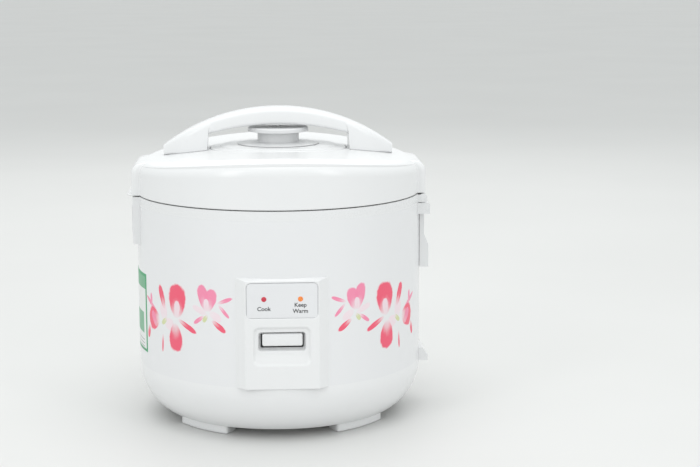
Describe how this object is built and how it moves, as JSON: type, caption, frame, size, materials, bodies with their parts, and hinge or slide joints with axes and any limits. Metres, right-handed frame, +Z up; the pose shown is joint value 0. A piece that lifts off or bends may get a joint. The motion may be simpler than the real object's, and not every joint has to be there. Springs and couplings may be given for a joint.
{
  "type": "rice cooker",
  "caption": "White jar rice cooker with a hinged lid, carry handle, flower print, one-lever cook switch and lift-out pot.",
  "frame": {"origin": "middle of the body on the plane that the feet stand on", "axes": "+Z up, control panel towards -Y, lid hinge at +X, latch at -X"},
  "size_m": [0.2526, 0.2415, 0.26],
  "materials": {
    "shell_enamel": "gloss white enamel with a printed flower band",
    "white_plastic": "gloss moulded plastic",
    "frame_plastic": "gloss moulded plastic",
    "base_plastic": "satin moulded plastic",
    "window_plastic": "satin insert",
    "red_lens": "clear red",
    "amber_lens": "clear amber",
    "vent_plastic": "grey moulded plastic",
    "dew_plastic": "frosted clear plastic",
    "pot_coating": "spun outside, dark non-stick inside",
    "cast_aluminium": "die cast, turned top face",
    "sheet_aluminium": "satin anodised",
    "case_steel": "galvanised sheet",
    "bright_steel": "plated",
    "spring_steel": "drawn wire",
    "element_steel": "oxidised tube",
    "magnet_ferrite": "sintered ferrite",
    "heater_tape": "woven glass tape",
    "phenolic": "moulded phenolic",
    "ceramic_tan": "unglazed ceramic",
    "fuse_sleeve": "braided glass sleeve",
    "lead_silicone": "silicone lead",
    "board_green": "solder mask",
    "lamp_resin": "clear resin",
    "contact_brass": "plated contact",
    "seal_silicone": "translucent silicone",
    "label_paper": "printed film"
  },
  "bodies": {
    "base": {"base_ring": "white_plastic", "bottom_plate": "base_plastic", "base_screws": "bright_steel", "body_shell": "shell_enamel", "upper_frame": "frame_plastic", "inner_case": "case_steel", "inner_pot": "pot_coating", "heater_plate": "cast_aluminium", "heating_element": "element_steel", "side_heater": "heater_tape", "limiter_housing": "case_steel", "sensor_spring": "spring_steel", "lever_bracket": "bright_steel", "lever_pin": "bright_steel", "microswitch": "phenolic", "switch_post": "base_plastic", "keep_warm_thermostat": "ceramic_tan", "thermal_fuse": "fuse_sleeve", "lead_wires": "lead_silicone", "control_panel": "white_plastic", "indicator_window": "window_plastic", "cook_lens": "red_lens", "warm_lens": "amber_lens", "lamp_board": "board_green", "indicator_lamps": "lamp_resin", "power_inlet": "phenolic", "inlet_blades": "contact_brass", "inlet_hood": "white_plastic", "side_label": "label_paper", "latch_frame": "frame_plastic", "latch_pin": "bright_steel", "latch_spring": "spring_steel", "hinge_cover": "frame_plastic", "hinge_pin": "bright_steel", "hinge_spring": "spring_steel"},
    "lid": {"lid_cover": "white_plastic", "lid_tray": "base_plastic", "inner_lid": "sheet_aluminium", "lid_seal": "seal_silicone", "inner_lid_grommet": "seal_silicone", "lid_catch": "bright_steel", "vent_tube": "seal_silicone", "vent_insert": "white_plastic", "steam_vent_cap": "vent_plastic", "carry_handle": "white_plastic", "handle_screws": "bright_steel"},
    "latch": {"latch_button": "white_plastic"},
    "switch_lever": {"cook_lever": "bright_steel", "cook_paddle": "white_plastic"},
    "limiter": {"limiter_magnet": "magnet_ferrite"},
    "sensor": {"sensor_cap": "sheet_aluminium"},
    "dew": {"dew_collector": "dew_plastic"}
  },
  "joints": [
    {"name": "lid_hinge", "type": "hinge", "parent": "base", "child": "lid", "pos_m": [0.1203, 0, 0.1854], "axis": [0, 1, 0], "range_deg": [0, 92]},
    {"name": "latch_press", "type": "hinge", "parent": "base", "child": "latch", "pos_m": [-0.1168, 0, 0.1679], "axis": [0, 1, 0], "range_deg": [-6, 0], "stiffness_Nm_per_rad": 0.12, "springref_deg": 20.05},
    {"name": "cook_press", "type": "hinge", "parent": "base", "child": "switch_lever", "pos_m": [0, -0.052, 0.052], "axis": [1, 0, 0], "range_deg": [0, 2.5], "stiffness_Nm_per_rad": 0.6, "springref_deg": -11.46},
    {"name": "limiter_lift", "type": "slide", "parent": "base", "child": "limiter", "axis": [0, 0, 1], "range_m": [0, 0.0025]},
    {"name": "sensor_press", "type": "slide", "parent": "base", "child": "sensor", "axis": [0, 0, 1], "range_m": [-0.002, 0], "stiffness_N_per_m": 300, "springref_m": 0.006, "deforming": ["sensor_spring"]},
    {"name": "dew_pull", "type": "slide", "parent": "base", "child": "dew", "axis": [1, 0, 0], "range_m": [0, 0.03]}
  ],
  "couplings": [
    {"joint": "limiter_lift", "follows": "cook_press", "m_per_rad": 0.052}
  ]
}
